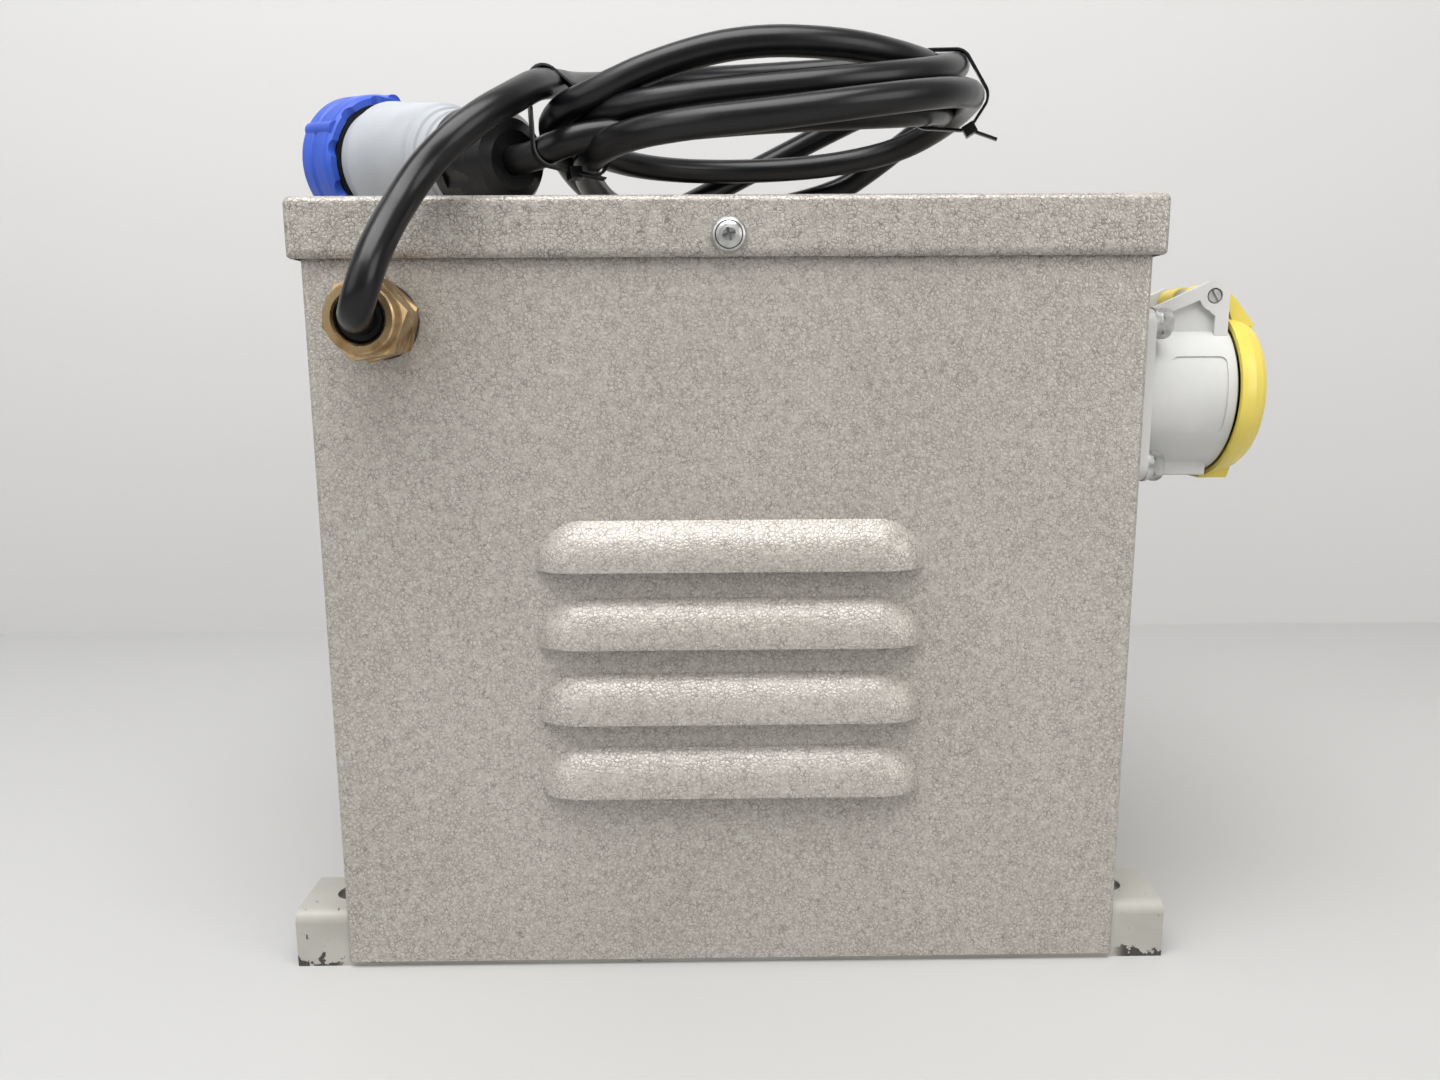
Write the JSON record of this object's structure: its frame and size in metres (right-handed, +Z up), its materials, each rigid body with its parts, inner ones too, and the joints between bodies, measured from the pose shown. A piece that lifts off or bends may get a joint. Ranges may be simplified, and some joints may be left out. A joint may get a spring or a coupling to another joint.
{
  "type": "portable power distribution box",
  "caption": "Sheet-steel portable site power box with louvred front, screwed lid, slotted feet, brass gland, coiled supply cord with industrial plug and a side socket outlet.",
  "frame": {"origin": "on the floor, under the middle of the box that holds the object without its free cord and plug", "axes": "+X towards the side socket outlet, +Y from the louvred front to the rear, +Z up"},
  "size_m": [0.3866, 0.2933, 0.377],
  "materials": {
    "hammertone_paint": "silver-grey hammer finish, fine dark cell lines",
    "foot_paint": "smooth satin grey paint, chipped along the lower edge",
    "galvanised_steel": "galvanised sheet",
    "zinc_steel": "bright zinc plate",
    "brass": "machined, lightly tarnished",
    "black_rubber": "matt black",
    "cord_rubber": "satin black sheath",
    "black_nylon": "satin black",
    "grey_plastic": "satin moulded light grey",
    "blue_plastic": "satin moulded blue",
    "white_grey_plastic": "satin moulded near-white grey",
    "yellow_plastic": "satin moulded yellow",
    "electrical_steel": "varnished stack of laminations",
    "copper_winding": null,
    "bobbin_plastic": "glass-filled nylon",
    "insulation_film": "polyester tape",
    "fibre": "pressed fibre, dark brown",
    "brown_sheath": "PVC core insulation",
    "blue_sheath": "PVC core insulation",
    "earth_sheath": "PVC core insulation, green and yellow"
  },
  "bodies": {
    "box": {"case_body": "hammertone_paint", "case_lid": "hammertone_paint", "base_tray": "galvanised_steel", "front_foot": "foot_paint", "rear_foot": "foot_paint", "lid_screws": "zinc_steel", "lid_cup_washers": "zinc_steel", "lid_rivet_nuts": "zinc_steel", "foot_bolts": "zinc_steel", "foot_nuts": "zinc_steel", "gland_body": "brass", "gland_cap": "brass", "gland_seal": "black_rubber", "gland_washer": "fibre", "gland_locknut": "brass", "supply_cord_inner": "cord_rubber", "supply_cord_lead": "cord_rubber", "supply_cord_hank": "cord_rubber", "supply_cord_tail": "cord_rubber", "cable_tie_left": "black_nylon", "cable_tie_right": "black_nylon", "plug_gland_nut": "black_nylon", "plug_body": "grey_plastic", "plug_shroud": "grey_plastic", "plug_pin_carrier": "grey_plastic", "plug_pins": "brass", "plug_ring_seal": "black_rubber", "plug_cord_grip": "grey_plastic", "outlet_gasket": "black_rubber", "outlet_housing": "white_grey_plastic", "outlet_hinge_pin": "zinc_steel", "outlet_lid_spring": "zinc_steel", "outlet_insert": "white_grey_plastic", "outlet_contacts": "brass", "outlet_bolts": "zinc_steel", "outlet_spring_washers": "zinc_steel", "outlet_flat_washers": "zinc_steel", "outlet_nuts": "zinc_steel", "core_laminations": "electrical_steel", "coil_bobbin": "bobbin_plastic", "primary_winding": "copper_winding", "secondary_winding": "copper_winding", "winding_insulation": "insulation_film", "core_clamps": "zinc_steel", "core_bolts": "zinc_steel", "core_foot_bolts": "zinc_steel", "core_nuts": "zinc_steel", "thermal_cutout": "bobbin_plastic", "terminal_block": "bobbin_plastic", "terminal_screws": "zinc_steel", "earth_stud": "zinc_steel", "earth_nuts": "zinc_steel", "supply_live_wire": "brown_sheath", "supply_neutral_wire": "blue_sheath", "supply_earth_wire": "earth_sheath", "outlet_live_wire": "brown_sheath", "outlet_neutral_wire": "blue_sheath"},
    "outlet_cover": {"outlet_lid": "yellow_plastic", "outlet_lid_seal": "black_rubber"},
    "locking_ring": {"plug_lock_ring": "blue_plastic"}
  },
  "joints": [
    {"name": "outlet_cover_hinge", "type": "hinge", "parent": "box", "child": "outlet_cover", "pos_m": [0.16735, -0.065, 0.2565], "axis": [0, -1, 0], "range_deg": [0, 115], "stiffness_Nm_per_rad": 0.02, "springref_deg": -34.38},
    {"name": "locking_ring_turn", "type": "hinge", "parent": "box", "child": "locking_ring", "pos_m": [-0.17234, 0.00233, 0.32102], "axis": [-0.7271, 0.678, 0.108], "range_deg": [0, 45]}
  ]
}
